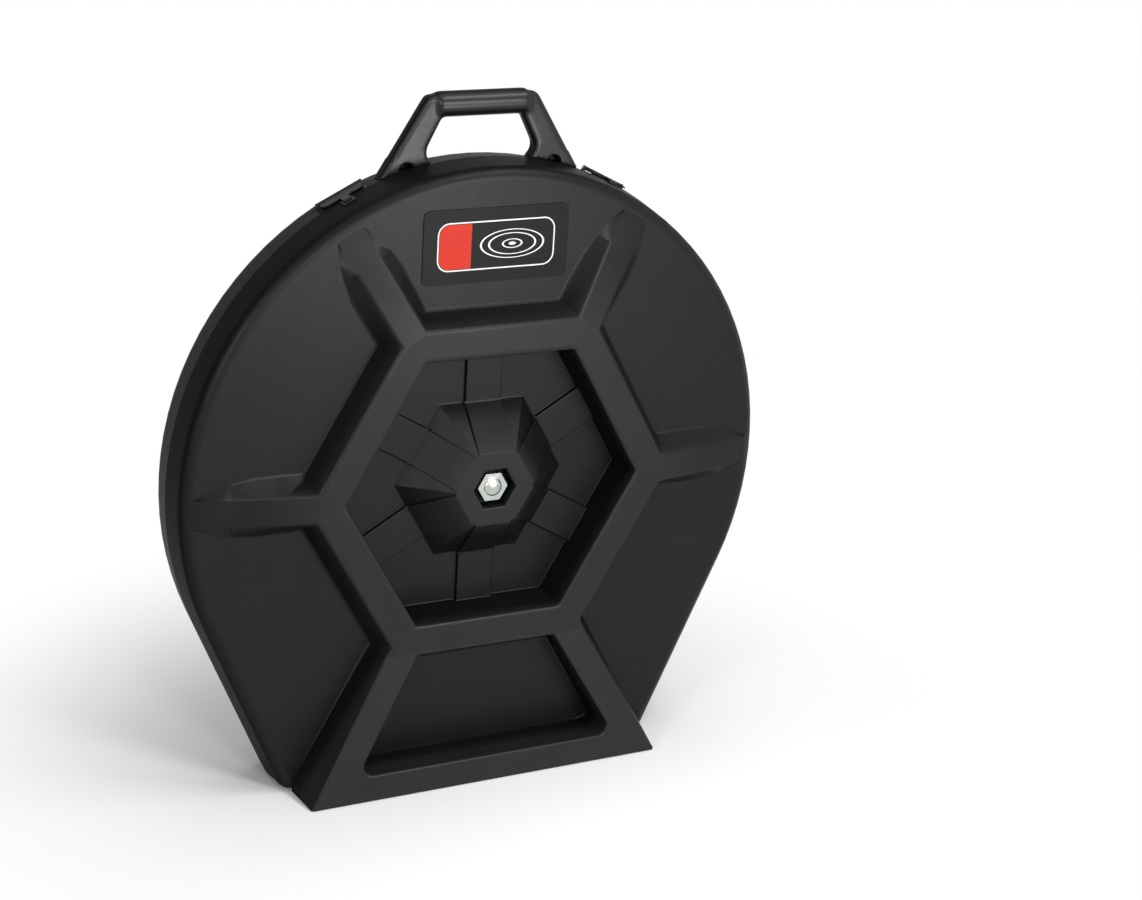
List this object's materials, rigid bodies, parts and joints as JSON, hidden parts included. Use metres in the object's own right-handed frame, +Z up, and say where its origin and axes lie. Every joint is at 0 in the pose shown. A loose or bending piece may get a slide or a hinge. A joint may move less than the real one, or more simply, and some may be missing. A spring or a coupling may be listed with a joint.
{
  "type": "cymbal case",
  "caption": "Hard moulded case for a stack of cymbals: ribbed round halves hinged at a flat base, with snap latches, carrying handle and centre bolt.",
  "frame": {"origin": "middle of the flat base, on the plane where the two halves meet", "axes": "+Z up towards the handle, -Y the front with the visible cap nut, +X to the right seen from the front"},
  "size_m": [0.625, 0.1688, 0.6856],
  "materials": {
    "bolt_sleeve": "natural nylon",
    "cap_nut": "bright zinc-plated steel",
    "centre_bolt": "bright zinc-plated steel",
    "clamp_washer": "bright zinc-plated steel",
    "cup_washer": "bright zinc-plated steel",
    "felt_washer_front": "pressed grey wool felt",
    "felt_washer_rear": "pressed grey wool felt",
    "foam_band_front": "charcoal closed-cell foam",
    "foam_band_rear": "charcoal closed-cell foam",
    "foam_ring_front": "charcoal closed-cell foam",
    "foam_ring_rear": "charcoal closed-cell foam",
    "front_shell": "satin black moulded polyethylene with a fine grain",
    "handle": "satin black moulded nylon",
    "handle_plate_left": "bright zinc-plated steel",
    "handle_plate_right": "bright zinc-plated steel",
    "handle_screw_left_1": "bright zinc-plated steel",
    "handle_screw_left_2": "bright zinc-plated steel",
    "handle_screw_right_1": "bright zinc-plated steel",
    "handle_screw_right_2": "bright zinc-plated steel",
    "hinge_leaf_front_left": "black coated pressed steel",
    "hinge_leaf_front_right": "black coated pressed steel",
    "hinge_leaf_rear_left": "black coated pressed steel",
    "hinge_leaf_rear_right": "black coated pressed steel",
    "hinge_pin_left": "bright zinc-plated steel",
    "hinge_pin_right": "bright zinc-plated steel",
    "hinge_rivet_front_left_1": "bright zinc-plated steel",
    "hinge_rivet_front_left_2": "bright zinc-plated steel",
    "hinge_rivet_front_right_1": "bright zinc-plated steel",
    "hinge_rivet_front_right_2": "bright zinc-plated steel",
    "hinge_rivet_rear_left_1": "bright zinc-plated steel",
    "hinge_rivet_rear_left_2": "bright zinc-plated steel",
    "hinge_rivet_rear_right_1": "bright zinc-plated steel",
    "hinge_rivet_rear_right_2": "bright zinc-plated steel",
    "inner_washer": "bright zinc-plated steel",
    "keeper_rivet_left": "bright zinc-plated steel",
    "keeper_rivet_right": "bright zinc-plated steel",
    "label_blank": "blank satin black film",
    "latch_base_left": "black coated pressed steel",
    "latch_base_right": "black coated pressed steel",
    "latch_keeper_left": "black coated pressed steel",
    "latch_keeper_right": "black coated pressed steel",
    "latch_lever_left": "black coated pressed steel",
    "latch_lever_right": "black coated pressed steel",
    "latch_pin_left": "bright zinc-plated steel",
    "latch_pin_right": "bright zinc-plated steel",
    "latch_rivet_left_base_a": "bright zinc-plated steel",
    "latch_rivet_left_base_b": "bright zinc-plated steel",
    "latch_rivet_right_base_a": "bright zinc-plated steel",
    "latch_rivet_right_base_b": "bright zinc-plated steel",
    "lock_nut": "bright zinc-plated steel",
    "outer_washer": "bright zinc-plated steel",
    "rear_shell": "satin black moulded polyethylene with a fine grain",
    "wing_nut": "bright zinc-plated steel"
  },
  "bodies": {
    "rear_half": {"foam_band_rear": "foam_band_rear", "foam_ring_rear": "foam_ring_rear", "handle": "handle", "handle_plate_left": "handle_plate_left", "handle_plate_right": "handle_plate_right", "handle_screw_left_1": "handle_screw_left_1", "handle_screw_left_2": "handle_screw_left_2", "handle_screw_right_1": "handle_screw_right_1", "handle_screw_right_2": "handle_screw_right_2", "hinge_leaf_rear_left": "hinge_leaf_rear_left", "hinge_leaf_rear_right": "hinge_leaf_rear_right", "hinge_pin_left": "hinge_pin_left", "hinge_pin_right": "hinge_pin_right", "hinge_rivet_rear_left_1": "hinge_rivet_rear_left_1", "hinge_rivet_rear_left_2": "hinge_rivet_rear_left_2", "hinge_rivet_rear_right_1": "hinge_rivet_rear_right_1", "hinge_rivet_rear_right_2": "hinge_rivet_rear_right_2", "latch_base_left": "latch_base_left", "latch_base_right": "latch_base_right", "latch_pin_left": "latch_pin_left", "latch_pin_right": "latch_pin_right", "latch_rivet_left_base_a": "latch_rivet_left_base_a", "latch_rivet_left_base_b": "latch_rivet_left_base_b", "latch_rivet_right_base_a": "latch_rivet_right_base_a", "latch_rivet_right_base_b": "latch_rivet_right_base_b", "rear_shell": "rear_shell"},
    "front_half": {"bolt_sleeve": "bolt_sleeve", "cap_nut": "cap_nut", "centre_bolt": "centre_bolt", "clamp_washer": "clamp_washer", "cup_washer": "cup_washer", "felt_washer_front": "felt_washer_front", "felt_washer_rear": "felt_washer_rear", "foam_band_front": "foam_band_front", "foam_ring_front": "foam_ring_front", "front_shell": "front_shell", "hinge_leaf_front_left": "hinge_leaf_front_left", "hinge_leaf_front_right": "hinge_leaf_front_right", "hinge_rivet_front_left_1": "hinge_rivet_front_left_1", "hinge_rivet_front_left_2": "hinge_rivet_front_left_2", "hinge_rivet_front_right_1": "hinge_rivet_front_right_1", "hinge_rivet_front_right_2": "hinge_rivet_front_right_2", "inner_washer": "inner_washer", "keeper_rivet_left": "keeper_rivet_left", "keeper_rivet_right": "keeper_rivet_right", "label_blank": "label_blank", "latch_keeper_left": "latch_keeper_left", "latch_keeper_right": "latch_keeper_right", "lock_nut": "lock_nut", "outer_washer": "outer_washer"},
    "latch_lever_left": {"latch_lever_left": "latch_lever_left"},
    "latch_lever_right": {"latch_lever_right": "latch_lever_right"},
    "wing_nut": {"wing_nut": "wing_nut"}
  },
  "joints": [
    {"name": "front_half_opening", "type": "hinge", "parent": "rear_half", "child": "front_half", "pos_m": [0, 0, 0.0033], "axis": [1, 0, 0], "range_deg": [0, 135]},
    {"name": "latch_left_opening", "type": "hinge", "parent": "rear_half", "child": "latch_lever_left", "pos_m": [-0.14006, 0.0148, 0.59132], "axis": [-0.8949, 0, -0.4462], "range_deg": [0, 75]},
    {"name": "latch_right_opening", "type": "hinge", "parent": "rear_half", "child": "latch_lever_right", "pos_m": [0.14006, 0.0148, 0.59132], "axis": [-0.8949, 0, 0.4462], "range_deg": [0, 75]},
    {"name": "wing_nut_turning", "type": "hinge", "parent": "front_half", "child": "wing_nut", "pos_m": [0, -0.004, 0.3076], "axis": [0, 1, 0], "continuous": true}
  ]
}
